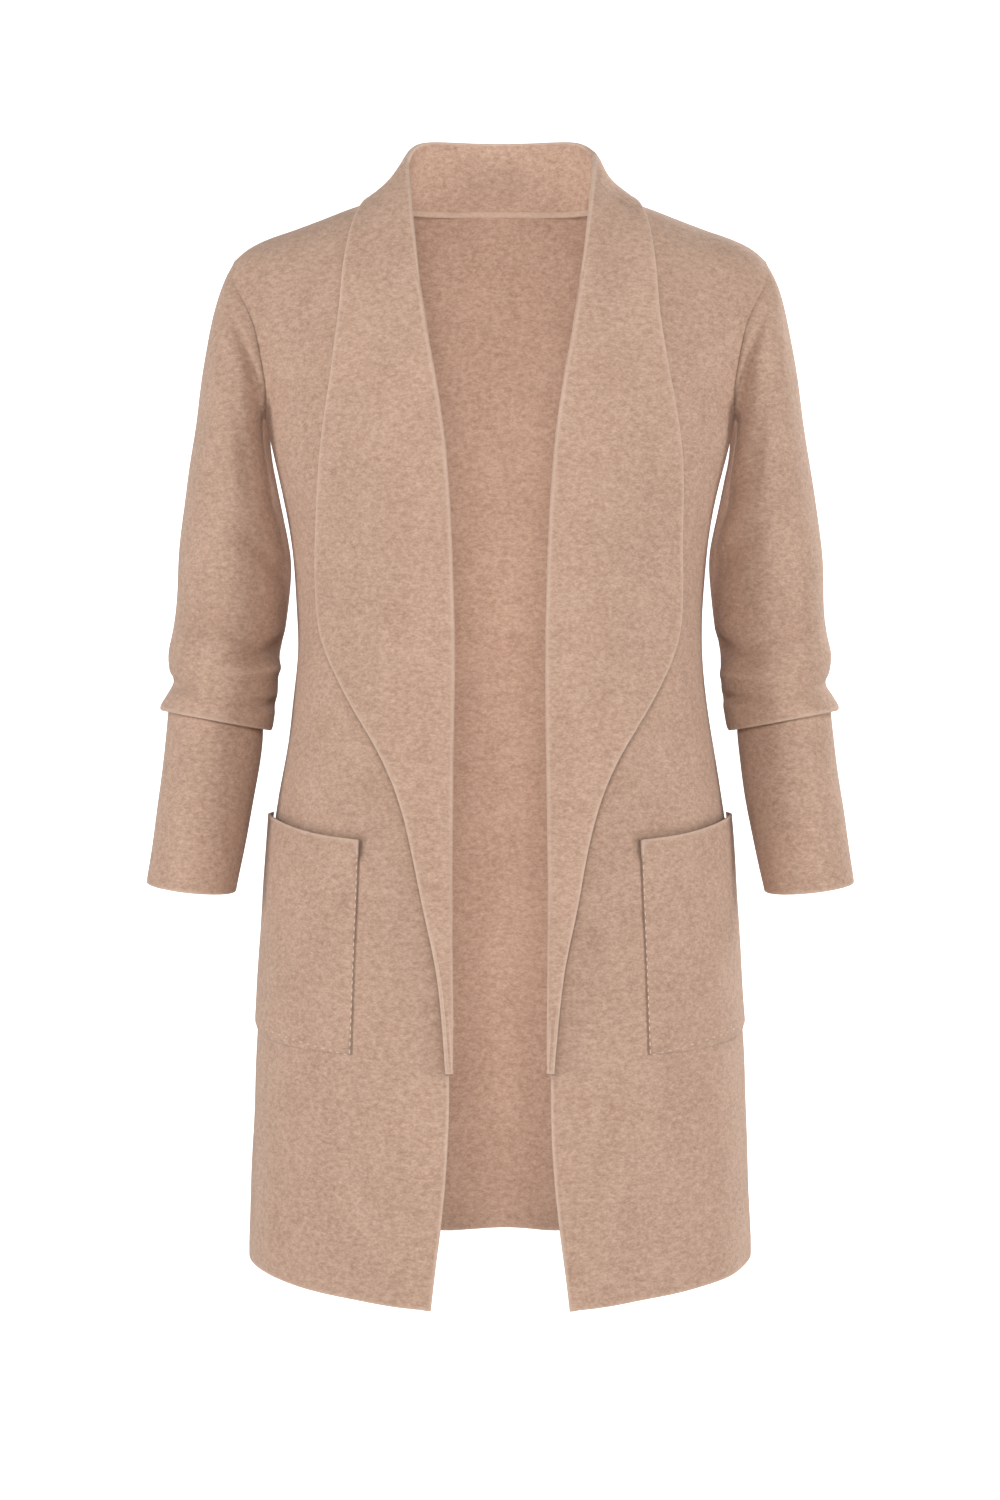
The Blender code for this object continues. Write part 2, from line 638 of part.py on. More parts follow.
def main():
    for old in list(bpy.data.objects):
        bpy.data.objects.remove(old)
    make_materials()
    root = bpy.data.objects.new("cardigan", None)
    bpy.context.scene.collection.objects.link(root)

    steps = NECK_STEPS + SHOULDER_STEPS
    front = front_grid()
    back = back_grid()
    collar = collar_grid()
    front_normals = facing(grid_normals(front), front * np.array([1, 1, 0]))
    back_normals = facing(grid_normals(back), back * np.array([1, 1, 0]))

    # Square ends at the shoulder and side seams
    front_normals[0] = flatten_to_seam_plane(facing(front_normals[0], np.array([0, 0, 1.0])))
    front_normals[ARMHOLE_STEPS:, -1] = (1.0, 0.0, 0.0)
    shoulder = list(range(0, steps - NECK_STEPS + 1)) + list(range(steps + NECK_STEPS, 2 * steps + 1))
    back_normals[0] = facing(back_normals[0], np.array([0, 0, 1.0]))
    back_normals[0, shoulder] = flatten_to_seam_plane(back_normals[0, shoulder])
    back_normals[ARMHOLE_STEPS:, -1] = (1.0, 0.0, 0.0)
    back_normals[ARMHOLE_STEPS:, 0] = (-1.0, 0.0, 0.0)

    # The armhole loop: down the front's edge from the shoulder tip, and up the back's
    left = 2 * steps
    loop = [front[row, -1] for row in range(ARMHOLE_STEPS + 1)]
    loop += [back[row, left] for row in range(ARMHOLE_STEPS - 1, 0, -1)]
    loop = np.array(loop)
    loop[[0, ARMHOLE_STEPS], 1] = 0.0
    sleeve = sleeve_grid(loop)
    centre = sleeve.mean(axis=1, keepdims=True)
    sleeve_normals = grid_normals(sleeve, closed=True)
    if np.sum(sleeve_normals[8] * (sleeve[8] - centre[8])) < 0:
        sleeve_normals = -sleeve_normals

    # One direction for the two end faces at the armhole, less and less towards the underarm
    for i in range(len(loop)):
        row = i if i <= ARMHOLE_STEPS else len(loop) - i
        panel = front_normals[row, -1] if i <= ARMHOLE_STEPS else back_normals[row, left]
        low = lowness(i, len(loop))
        shared = unit(panel + sleeve_normals[0, i])
        sleeve_normals[0, i] = unit(mix(shared, sleeve_normals[0, i], low))
        if 0 < row < ARMHOLE_STEPS:
            joined = unit(mix(shared, panel, low))
            if i <= ARMHOLE_STEPS:
                front_normals[row, -1] = joined
            else:
                back_normals[row, left] = joined
                back_normals[row, 0] = joined * np.array([-1, 1, 1])

    # The collar's seam, and one direction for the end faces there
    collar_normals = grid_normals(collar)
    middle = len(collar) // 2
    if collar_normals[middle, 0, 1] < 0:
        collar_normals = -collar_normals
    for station in range(len(collar)):
        if station < LAPEL_ROWS:
            row, side = LAPEL_ROWS - 1 - station, 1
        elif station >= len(collar) - LAPEL_ROWS:
            row, side = LAPEL_ROWS - 1 - (len(collar) - 1 - station), -1
        else:
            row, side = None, 1
        flip = np.array([side, 1, 1])
        if row == 0:
            shared = front_normals[row, 0] * flip + collar_normals[station, 0]
            shared = flatten_to_seam_plane(shared)
            front_normals[row, 0] = shared * flip
            back_normals[0, steps + side * NECK_STEPS] = shared
        elif row is not None:
            shared = unit(front_normals[row, 0] * flip + collar_normals[station, 0])
            front_normals[row, 0] = shared * flip
        else:
            index = steps + (middle - station)
            shared = unit(back_normals[0, index] + collar_normals[station, 0])
            back_normals[0, index] = shared
        collar_normals[station, 0] = shared
        ahead = unit(collar[station, 1] - collar[station, 0])
        collar[station, 0] += ahead * SEAM_GAP

    pocket = pocket_grid()
    pocket_normals = facing(grid_normals(pocket), pocket * np.array([1, 1, 0]))
    pocket_normals[:, -1] = (1.0, 0.0, 0.0)

    wall("back", back, back_normals)
    wall("collar", collar, collar_normals)
    pieces = {
        "front": (front, front_normals, False),
        "sleeve": (sleeve, sleeve_normals, True),
        "pocket": (pocket, pocket_normals, False),
    }
    for name, (grid, normals, closed) in pieces.items():
        wall(name + "_left", grid, normals, closed)
        wall(name + "_right", *mirrored(grid, normals), closed)


main()
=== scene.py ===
# Looks of the open-front duster cardigan: felted knit, soft creases, rounded raw edges and seams.
# Metres, +Z up, the wearer faces -Y. Every piece keeps the form of the CAD node that it replaces.

import math

import bmesh
import bpy
import numpy as np
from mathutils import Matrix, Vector
from mathutils.bvhtree import BVHTree
from mathutils.kdtree import KDTree


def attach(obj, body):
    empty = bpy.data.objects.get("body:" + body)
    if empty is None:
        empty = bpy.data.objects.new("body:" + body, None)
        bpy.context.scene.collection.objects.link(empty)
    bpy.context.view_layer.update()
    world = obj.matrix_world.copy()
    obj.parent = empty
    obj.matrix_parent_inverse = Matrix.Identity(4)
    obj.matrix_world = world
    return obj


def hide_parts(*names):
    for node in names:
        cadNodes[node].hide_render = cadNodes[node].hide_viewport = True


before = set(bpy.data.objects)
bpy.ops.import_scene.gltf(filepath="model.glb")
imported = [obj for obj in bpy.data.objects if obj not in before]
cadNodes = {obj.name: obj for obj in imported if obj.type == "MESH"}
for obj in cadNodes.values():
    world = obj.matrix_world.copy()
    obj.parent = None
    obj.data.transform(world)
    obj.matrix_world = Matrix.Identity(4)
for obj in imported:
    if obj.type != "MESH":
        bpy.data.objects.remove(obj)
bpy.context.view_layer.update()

scene = bpy.context.scene


# Materials

# Linear colours
knitTones = {
    "dark": (0.395, 0.246, 0.176),
    "middle": (0.545, 0.357, 0.262),
    "light": (0.685, 0.478, 0.368),
    # Pale tone of raw edges, partly their own and partly painted highlight, also painted on sharp folds
    "edge": (0.760, 0.570, 0.455),
    # Colour of painted shade along seams, under free edges and beside edges that lie on the cloth
    "seam": (0.150, 0.085, 0.060),
    "thread": (0.780, 0.590, 0.470),
}

# Scales are per metre: flecks are single fibres, clouds a hand's breadth
knitGrain = {
    "fleck": {"scale": 430.0, "detail": 4.0, "roughness": 0.72},
    "mottle": {"scale": 185.0, "detail": 3.0, "roughness": 0.6},
    "cloud": {"scale": 26.0, "detail": 2.0},
    "across": (1.0, 1.0, 1.7),
    "slanted": (1.2, 1.2, 0.9),
    "fuzz": {"scale": 1100.0, "detail": 3.0, "roughness": 0.7},
    "shares": (0.50, 0.38, 0.12),
    "contrast": (0.35, 0.50, 0.65),
    "relief": {"Strength": 0.55, "Distance": 0.0012},
    "reliefShares": (0.45, 0.35, 0.20),
    "roughness": {"To Min": 0.86, "To Max": 1.0},
    "specular": 0.18,
    "nap": {"weight": 0.22, "roughness": 0.55, "tint": (1.0, 0.90, 0.82, 1.0)},
}


def addNode(material, kind, values=None, **settings):
    node = material.node_tree.nodes.new(kind)
    for name, value in settings.items():
        setattr(node, name, value)
    for name, value in (values or {}).items():
        node.inputs[name].default_value = value
    return node


def link(material, start, end):
    material.node_tree.links.new(start, end)


def newMaterial(name):
    material = bpy.data.materials.new(name)
    material.use_nodes = True
    return material, material.node_tree.nodes["Principled BSDF"]


# Object coordinates, squeezed so that a noise made from them runs across the cloth
def stretchedPlace(material, stretch):
    place = addNode(material, "ShaderNodeTexCoord")
    mapping = addNode(material, "ShaderNodeMapping")
    mapping.inputs["Scale"].default_value = stretch
    link(material, place.outputs["Object"], mapping.inputs["Vector"])
    return mapping.outputs["Vector"]


def noiseAt(material, place, scale, detail, roughness=0.55):
    values = {"Scale": scale, "Detail": detail, "Roughness": roughness}
    grain = addNode(material, "ShaderNodeTexNoise", values)
    link(material, place, grain.inputs["Vector"])
    return grain.outputs["Fac"]


# The sum of several values, each times its weight
def weighted(material, parts):
    total = None
    for value, weight in parts:
        step = addNode(material, "ShaderNodeMath", operation="MULTIPLY_ADD")
        link(material, value, step.inputs[0])
        step.inputs[1].default_value = weight
        if total is not None:
            link(material, total, step.inputs[2])
        else:
            step.inputs[2].default_value = 0.0
        total = step.outputs[0]
    return total


def mixTo(material, first, factor, colour):
    mix = addNode(material, "ShaderNodeMix", data_type="RGBA", blend_type="MIX")
    link(material, factor, mix.inputs["Factor"])
    link(material, first, mix.inputs["A"])
    mix.inputs["B"].default_value = (*colour, 1.0)
    return mix.outputs["Result"]


def attributeAt(material, name):
    return addNode(material, "ShaderNodeAttribute", attribute_name=name).outputs["Fac"]


# Heathered, lightly felted knit: fine fibre flecks over a soft mottle. The stored attributes make raw
# edges paler, partly their own tone and partly painted highlight, paint highlights on sharp folds,
# and paint shade along seams and under and beside free edges.
def makeKnit(name, tones, grain):
    material, shader = newMaterial(name)
    across = stretchedPlace(material, grain["across"])
    slanted = stretchedPlace(material, grain["slanted"])
    fleck = noiseAt(material, across, **grain["fleck"])
    mottle = noiseAt(material, across, **grain["mottle"])
    cloud = noiseAt(material, slanted, **grain["cloud"])
    fuzz = noiseAt(material, across, **grain["fuzz"])

    tone = weighted(material, zip((fleck, mottle, cloud), grain["shares"]))
    ramp = addNode(material, "ShaderNodeValToRGB")
    stops = ramp.color_ramp.elements
    stops[0].position, stops[1].position = grain["contrast"][0], grain["contrast"][2]
    stops[0].color = (*tones["dark"], 1.0)
    stops[1].color = (*tones["light"], 1.0)
    stops.new(grain["contrast"][1]).color = (*tones["middle"], 1.0)
    link(material, tone, ramp.inputs["Fac"])
    # Paler at raw edges, partly their own tone and partly painted highlight, and at painted fold
    # highlights
    paler = mixTo(material, ramp.outputs["Color"], attributeAt(material, "rawEdgeAndPaintedHighlight"), tones["edge"])
    # Darker where shade is painted
    darker = mixTo(material, paler, attributeAt(material, "seamShade"), tones["seam"])
    link(material, darker, shader.inputs["Base Color"])

    height = weighted(material, zip((fuzz, mottle, fleck), grain["reliefShares"]))
    bump = addNode(material, "ShaderNodeBump", grain["relief"])
    link(material, height, bump.inputs["Height"])
    link(material, bump.outputs["Normal"], shader.inputs["Normal"])
    rough = addNode(material, "ShaderNodeMapRange", grain["roughness"])
    link(material, fleck, rough.inputs["Value"])
    link(material, rough.outputs["Result"], shader.inputs["Roughness"])
    shader.inputs["Specular IOR Level"].default_value = grain["specular"]
    shader.inputs["Sheen Weight"].default_value = grain["nap"]["weight"]
    shader.inputs["Sheen Roughness"].default_value = grain["nap"]["roughness"]
    shader.inputs["Sheen Tint"].default_value = grain["nap"]["tint"]
    return material


threadTwist = {"scale": 2400.0, "shades": (0.82, 1.12), "roughness": 0.75, "sheen": 0.15}


# Two tones of one colour, twisted together
def makeThread(name, colour, twist):
    material, shader = newMaterial(name)
    place = stretchedPlace(material, (1.0, 1.0, 1.0))
    tone = addNode(material, "ShaderNodeMix", data_type="RGBA")
    link(material, noiseAt(material, place, twist["scale"], 2.0), tone.inputs["Factor"])
    for end, shade in zip("AB", twist["shades"]):
        tone.inputs[end].default_value = (*[shade * part for part in colour], 1.0)
    link(material, tone.outputs["Result"], shader.inputs["Base Color"])
    shader.inputs["Roughness"].default_value = twist["roughness"]
    shader.inputs["Sheen Weight"].default_value = twist["sheen"]
    return material


knit = makeKnit("feltedKnit", knitTones, knitGrain)
thread = makeThread("sewingThread", knitTones["thread"], threadTwist)
print("made materials")


# Cloth from the CAD nodes

cloth = {
    "thickness": 0.0020,
    "merge": 0.00001,
    "partnerTolerance": 0.0000015,
    "partnerFacing": 0.3,
    "joinAngle": 1.2,
    "cornerAngle": 0.6,
    "supports": (0.0062, 0.0032),
    "supportRoom": 1.6,
    "levels": 2,
    "rimAngle": 0.85,
    "round": 0.00085,
    "roundSteps": 3,
    "seamRound": 0.00045,
    "seamReach": 0.00022,
}
seamPull = {
    "rest": 0.00012,
    "across": 0.0023,
    "reach": 0.0060,
    "shade": 0.62,
    "shadeWidth": 0.0013,
    "shadeFrom": -0.062,
    "shadeRange": 0.055,
}
rimIndex = 1


# Marks the short edges that join the two faces of the cloth along its rims
def partnerLayer(shape):
    layer = shape.edges.layers.int.new("partner")
    shape.normal_update()
    for edge in shape.edges:
        if abs(edge.calc_length() - cloth["thickness"]) > cloth["partnerTolerance"]:
            continue
        start, end = edge.verts
        along = (end.co - start.co).normalized()
        facing = cloth["partnerFacing"]
        if along.dot(end.normal) > facing and along.dot(start.normal) < -facing:
            edge[layer] = 1
    return layer


# The node's mesh with its corners merged, its triangles joined and its rims creased
def cleanShape(nodeName):
    shape = bmesh.new()
    shape.from_mesh(cadNodes[nodeName].data)
    bmesh.ops.remove_doubles(shape, verts=shape.verts, dist=cloth["merge"])
    partner = partnerLayer(shape)
    bmesh.ops.join_triangles(
        shape,
        faces=shape.faces,
        angle_face_threshold=cloth["joinAngle"],
        angle_shape_threshold=math.pi,
    )
    layers = shape.edges.layers.float
    sharp = layers.get("crease_edge") or layers.new("crease_edge")
    rimFaces = {face for face in shape.faces if any(edge[partner] for edge in face.edges)}
    for face in rimFaces:
        face.material_index = rimIndex
    rimVerts = set()
    for edge in shape.edges:
        inRim = [face in rimFaces for face in edge.link_faces]
        if len(inRim) != 2:
            continue
        corner = all(inRim) and edge.calc_face_angle(0.0) > cloth["cornerAngle"]
        if inRim[0] != inRim[1] or corner:
            edge[sharp] = 1.0
        if inRim[0] != inRim[1]:
            rimVerts.update(edge.verts)
    return shape, rimVerts


# Loops close to the rims, so that the cloth stays full up to its edges when it is smoothed
def addSupports(shape, rimVerts):
    for distance in cloth["supports"]:
        cuts, shares = [], {}
        for edge in shape.edges:
            atRim = [vert in rimVerts for vert in edge.verts]
            if atRim[0] == atRim[1] or edge.calc_length() < cloth["supportRoom"] * distance:
                continue
            cuts.append(edge)
            share = distance / edge.calc_length()
            shares[edge] = share if atRim[0] else 1.0 - share
        bmesh.ops.subdivide_edges(
            shape, edges=cuts, cuts=1, edge_percents=shares, quad_corner_type="INNER_VERT"
        )


# A new bmesh, smoothed as a subdivision surface
def smoothed(shape, name, levels):
    mesh = bpy.data.meshes.new(name + "Cage")
    shape.to_mesh(mesh)
    shape.free()
    cage = bpy.data.objects.new(name + "Cage", mesh)
    scene.collection.objects.link(cage)
    smooth = cage.modifiers.new("smooth", "SUBSURF")
    smooth.levels = levels
    smooth.render_levels = levels
    bpy.context.view_layer.update()
    view = bpy.context.evaluated_depsgraph_get()
    finer = bmesh.new()
    finer.from_object(cage, view)
    bpy.data.objects.remove(cage)
    bpy.data.meshes.remove(mesh)
    return finer


def rimEdges(shape):
    return [edge for edge in shape.edges if edge.calc_face_angle(0.0) > cloth["rimAngle"]]


def middle(edge):
    return (edge.verts[0].co + edge.verts[1].co) / 2


# Sewn rims reach across the fine gap to their neighbour
def closeSeams(shape, isRaw, neighbour=None):
    if neighbour:
        shadeLayer(shape)
    shape.normal_update()
    steps = {}
    for face in shape.faces:
        if face.material_index != rimIndex or isRaw(face.calc_center_median()):
            continue
        for vert in face.verts:
            steps[vert] = steps.get(vert, Vector()) + face.normal
    for vert, direction in steps.items():
        vert.co += direction.normalized() * cloth["seamReach"]
    if neighbour:
        pullAcross(shape, list(steps), neighbour)


# The layer that holds painted shade
def shadeLayer(shape):
    layers = shape.verts.layers.float
    return layers.get("seamShade") or layers.new("seamShade")


# 1 on a line, falling softly to 0 with the distance from it
def fading(away, width):
    return math.exp(-((away / width) ** 2))


# Pulls a rim, and the cloth beside it, over a wider gap to the piece it is sewn to, and paints
# a thin line of shade along the seam, darker lower down
def pullAcross(shape, rim, neighbour):
    gaps = []
    for vert in rim:
        place, _, _, away = neighbour.find_nearest(vert.co)
        gaps.append((place - vert.co) * max(0.0, 1.0 - seamPull["rest"] / max(away, 1e-6)))
    tree = distanceTree([vert.co.copy() for vert in rim])
    least = []
    for vert in rim:
        around = tree.find_range(vert.co, seamPull["across"])
        least.append(min((gaps[found[1]] for found in around), key=lambda gap: gap.length))
    pulls = []
    for vert in rim:
        around = tree.find_range(vert.co, 2 * seamPull["across"])
        pulls.append(sum((least[found[1]] for found in around), Vector()) / len(around))
    dark = shadeLayer(shape)
    for vert in shape.verts:
        _, i, away = tree.find(vert.co)
        if away < 3 * seamPull["reach"]:
            low = (seamPull["shadeFrom"] - vert.co.z) / seamPull["shadeRange"]
            amount = seamPull["shade"] * min(1.0, max(0.0, low))
            vert[dark] = amount * fading(away, seamPull["shadeWidth"])
            vert.co += pulls[i] * fading(away, seamPull["reach"])


def softStep(share):
    share = min(1.0, max(0.0, share))
    return share * share * (3 - 2 * share)


def points(shape):
    return np.array([vert.co[:] for vert in shape.verts])


def movePoints(shape, moved):
    for vert, place in zip(shape.verts, moved):
        vert.co = place


def newPiece(shape, name, material):
    mesh = bpy.data.meshes.new(name)
    bmesh.ops.recalc_face_normals(shape, faces=shape.faces)
    shape.to_mesh(mesh)
    shape.free()
    mesh.materials.append(material)
    mesh.shade_smooth()
    piece = bpy.data.objects.new(name, mesh)
    scene.collection.objects.link(piece)
    return piece


# Creases

# A soft trough (depth below 0) or ridge, drawn along a path of (degrees round, level, depth)
# on the unrolled cloth. Its depth fades to the 0 at its ends.
def crease(width, *path):
    return {"width": width, "path": path}


# How far a stroke moves each point. Past its width the cloth swings back by a share, the rebound
def strokeHeight(across, levels, path, width, rebound, shifts=(0.0,)):
    best = np.full(len(levels), np.inf)
    height = np.zeros(len(levels))
    for shift in shifts:
        for start, end in zip(path, path[1:]):
            du, dv = end[0] - start[0], end[1] - start[1]
            share = ((across + shift - start[0]) * du + (levels - start[1]) * dv) / (du * du + dv * dv)
            share = np.clip(share, 0.0, 1.0)
            besides = across + shift - start[0] - share * du
            away = besides ** 2 + (levels - start[1] - share * dv) ** 2
            nearer = away < best
            best[nearer] = away[nearer]
            height[nearer] = (start[2] + share * (end[2] - start[2]))[nearer]
    s = best / width ** 2
    return height * (1.0 - rebound * s) * np.exp(-s)


roundRebound = 0.7


# The same for a crease that is drawn round the body or a sleeve
def roundHeight(angles, levels, radius, stroke):
    path = np.array(stroke["path"])
    path[:, 0] = np.radians(path[:, 0]) * radius
    turn = 2 * math.pi * radius
    shifts = (-turn, 0.0, turn)
    return strokeHeight(angles * radius, levels, path, stroke["width"], roundRebound, shifts)


# Each wave is (share, turns across, back and up, start)
uneven = {
    "height": 0.00034,
    "waves": [
        (1.0, 31, 0, 23, 0.6),
        (1.0, 0, 27, -37, 1.9),
        (0.7, 53, -19, 41, 0.0),
        (0.5, 29, 47, 83, 2.2),
    ],
}


# Slow small waves, so that no stretch of cloth is perfectly even
def unevenness(place):
    x, y, z = place.T
    total = 0.0
    for share, across, back, up, start in uneven["waves"]:
        total = total + share * np.sin(across * x + back * y + up * z + start)
    return uneven["height"] * total


# Creases beside the armholes, drawn in the front view as (across, level, depth). They move the
# body and the sleeve alike, so that the seam between them stays closed.
armCreases = [
    {"face": -1, "width": 0.0044, "path": [
        (0.2120, -0.078, 0), (0.2030, -0.106, -0.0034), (0.1940, -0.131, -0.0044),
        (0.1880, -0.154, -0.0030), (0.1850, -0.185, 0)]},
    {"face": -1, "width": 0.0080, "path": [
        (0.2180, -0.120, 0), (0.2070, -0.160, -0.0022), (0.1980, -0.205, -0.0026), (0.194, -0.245, 0)]},
    {"face": -1, "width": 0.0065, "path": [
        (0.1700, -0.175, 0), (0.1760, -0.155, -0.0014), (0.1830, -0.128, -0.0016), (0.190, -0.100, 0)]},
    {"face": 1, "width": 0.0050, "path": [
        (0.2080, -0.080, 0), (0.2000, -0.112, -0.0024), (0.1930, -0.142, -0.0030), (0.188, -0.178, 0)]},
    {"face": 1, "width": 0.0090, "path": [
        (0.1640, -0.205, 0), (0.1720, -0.170, -0.0026), (0.1850, -0.130, -0.0020), (0.198, -0.092, 0)]},
]
armChange = {"lower": 0.006, "depth": 0.85, "blend": 0.012, "rebound": 0.6}


# The armholes' creases, the right side's a little lower and shallower than the left's
def creaseArms(place):
    x, y, z = place.T
    left = x > 0
    moved = place.copy()
    for stroke in armCreases:
        levels = z + np.where(left, 0.0, armChange["lower"])
        path = np.array(stroke["path"])
        height = strokeHeight(np.abs(x), levels, path, stroke["width"], armChange["rebound"])
        height *= np.where(left, 1.0, armChange["depth"])
        height *= np.clip(stroke["face"] * y / armChange["blend"], 0.0, 1.0)
        moved[:, 1] += stroke["face"] * height
    return moved


armhole = {"reach": 0.030, "inner": 0.13, "foot": -0.25}


# 0 at the armholes' seams and 1 away from them
def armholeCalm(place):
    calm = np.ones(len(place))
    near = (np.abs(place[:, 0]) > armhole["inner"]) & (place[:, 2] > armhole["foot"])
    for i in np.nonzero(near)[0]:
        calm[i] = softStep(armholeTree.find(place[i])[2] / armhole["reach"])
    return calm


bodyDrape = {"radius": 0.15, "depthShare": 1.35, "calmAt": 0.02, "calmRange": 0.06}
bodyStrokes = [
    crease(0.030, (131, -0.40, 0), (133, -0.62, 0.0034), (134, -0.86, 0.0078)),
    crease(0.026, (154, -0.44, 0), (156, -0.66, -0.0036), (157, -0.86, -0.0072)),
    crease(0.031, (179, -0.38, 0), (180, -0.60, 0.0030), (178, -0.86, 0.0066)),
    crease(0.026, (203, -0.48, 0), (204, -0.68, -0.0032), (202, -0.86, -0.0064)),
    crease(0.030, (226, -0.42, 0), (227, -0.64, 0.0036), (226, -0.86, 0.0076)),
    crease(0.024, (110, -0.48, 0), (112, -0.70, -0.0024), (113, -0.86, -0.0042)),
    crease(0.024, (-109, -0.50, 0), (-111, -0.70, -0.0024), (-109, -0.86, -0.0044)),
    crease(0.015, (148, -0.330, 0), (168, -0.340, -0.0034), (188, -0.334, -0.0028), (204, -0.324, 0)),
    crease(0.013, (160, -0.372, 0), (180, -0.366, -0.0034), (202, -0.376, -0.0022), (216, -0.384, 0)),
    crease(0.013, (140, -0.358, 0), (149, -0.352, -0.0024), (161, -0.360, 0)),
    crease(0.014, (196, -0.300, 0), (210, -0.294, -0.0022), (222, -0.300, 0)),
    crease(0.018, (214, -0.205, 0), (226, -0.160, -0.0026), (233, -0.110, 0)),
    crease(0.016, (120, -0.232, 0), (133, -0.200, -0.0026), (144, -0.150, 0)),
    crease(0.022, (47, -0.30, 0), (50, -0.42, -0.0016), (51, -0.52, 0)),
    crease(0.022, (-49, -0.31, 0), (-51, -0.41, -0.0014), (-50, -0.50, 0)),
    crease(0.026, (37, -0.68, 0), (39, -0.78, -0.0018), (40, -0.87, -0.0030)),
    crease(0.028, (-42, -0.70, 0), (-40, -0.79, -0.0016), (-41, -0.87, -0.0028)),
    crease(0.024, (62, -0.70, 0), (64, -0.80, 0.0014), (65, -0.87, 0.0024)),
    crease(0.024, (22, -0.09, 0), (25, -0.15, -0.0013), (27, -0.24, 0)),
    crease(0.024, (-23, -0.10, 0), (-26, -0.16, -0.0012), (-27, -0.26, 0)),
]


# Moves points of the body, the collar and the pockets alike, so that they never cross
def drapeBody(place):
    x, y, z = place.T
    angles = np.arctan2(x, -y)
    height = unevenness(place)
    for stroke in bodyStrokes:
        height = height + roundHeight(angles, z, bodyDrape["radius"], stroke)
    radial = np.stack([x, bodyDrape["depthShare"] * y, np.zeros(len(x))], axis=1)
    radial /= np.linalg.norm(radial, axis=1, keepdims=True) + 1e-9
    calm = np.clip((bodyDrape["calmAt"] - z) / bodyDrape["calmRange"], 0.0, 1.0)
    return creaseArms(place + radial * (height * calm * armholeCalm(place))[:, None])


# The sleeve's middle, as (level, across, back)
sleeveLine = np.array([
    (-0.60, 0.249, -0.038),
    (-0.545, 0.243, -0.032),
    (-0.505, 0.237, -0.024),
    (-0.450, 0.231, -0.015),
    (-0.410, 0.227, -0.007),
    (-0.360, 0.221, 0.002),
    (-0.310, 0.215, 0.005),
    (-0.220, 0.211, 0.004),
    (-0.150, 0.207, 0.001),
    (-0.040, 0.200, 0.000),
])
sleeveDrape = {"radius": 0.049, "uneven": (1.0, 1.3, 1.1)}
sleeveStrokes = [
    crease(0.0075, (15, -0.338, 0), (60, -0.342, -0.0036), (100, -0.350, -0.0044), (135, -0.358, 0)),
    crease(0.0095, (60, -0.318, 0), (105, -0.326, 0.0020), (150, -0.336, 0.0022), (185, -0.340, 0)),
    crease(0.0100, (90, -0.370, 0), (128, -0.361, -0.0050), (165, -0.354, -0.0060), (205, -0.352, 0)),
    crease(0.0068, (70, -0.384, 0), (115, -0.380, 0.0022), (155, -0.377, 0.0036), (205, -0.374, 0)),
    crease(0.0055, (80, -0.400, 0), (125, -0.396, -0.0032), (165, -0.394, -0.0048), (205, -0.394, 0)),
    crease(0.0058, (-10, -0.380, 0), (25, -0.384, -0.0030), (60, -0.389, -0.0030), (95, -0.396, 0)),
    crease(0.0085, (10, -0.356, 0), (40, -0.362, 0.0014), (70, -0.369, 0.0022), (100, -0.376, 0)),
    crease(0.0085, (-15, -0.332, 0), (-55, -0.338, -0.0042), (-100, -0.350, -0.0044), (-145, -0.360, 0)),
    crease(0.0065, (-35, -0.374, 0), (-80, -0.378, -0.0042), (-130, -0.386, -0.0030), (-160, -0.390, 0)),
    crease(0.0100, (-165, -0.308, 0), (-120, -0.304, -0.0038), (-75, -0.296, 0)),
    crease(0.0110, (185, -0.302, 0), (135, -0.286, -0.0044), (100, -0.262, -0.0024), (78, -0.240, 0)),
    crease(0.0110, (170, -0.262, 0), (128, -0.240, -0.0036), (104, -0.210, 0)),
    crease(0.0120, (-165, -0.270, 0), (-125, -0.246, -0.0036), (-92, -0.212, 0)),
    crease(0.0090, (105, -0.430, 0), (60, -0.438, -0.0018), (20, -0.434, 0)),
    crease(0.0100, (-60, -0.470, 0), (-100, -0.486, -0.0020), (-150, -0.496, 0)),
]
cuffBow = {"drop": 0.0032, "level": -0.505, "reach": 0.035, "lean": 0.35}


# The right sleeve's strokes are a little longer, shallower or higher than the left one's
def sleeveVariation(index):
    return {
        "depth": (1.15, 0.8, 0.95, 1.2, 0.85)[index % 5],
        "raise": (0.004, -0.003, 0.0, 0.005, -0.005, 0.002)[index % 6],
    }


# Moves points of a sleeve, side 1 for the wearer's left and -1 for the right
def drapeSleeve(place, side):
    x, y, z = place.T
    across = np.interp(z, sleeveLine[:, 0], sleeveLine[:, 1])
    back = np.interp(z, sleeveLine[:, 0], sleeveLine[:, 2])
    dx, dy = side * x - across, y - back
    angles = np.arctan2(-dy, dx)
    height = unevenness(place * np.array(sleeveDrape["uneven"]) * np.array([1.0, side, 1.0]))
    for i, stroke in enumerate(sleeveStrokes):
        if side < 0:
            change = sleeveVariation(i)
            path = [(a, v + change["raise"], d * change["depth"]) for a, v, d in stroke["path"]]
            stroke = crease(stroke["width"], *path)
        height = height + roundHeight(angles, z, sleeveDrape["radius"], stroke)
    size = np.sqrt(dx * dx + dy * dy) + 1e-9
    radial = np.stack([side * dx / size, dy / size, np.zeros(len(x))], axis=1)
    moved = place + radial * (height * armholeCalm(place))[:, None]
    low = np.clip((cuffBow["level"] - z) / cuffBow["reach"], 0.0, 1.0)
    moved[:, 2] += cuffBow["drop"] * low * (dy / size + cuffBow["lean"])
    return creaseArms(moved)


# Raw edges

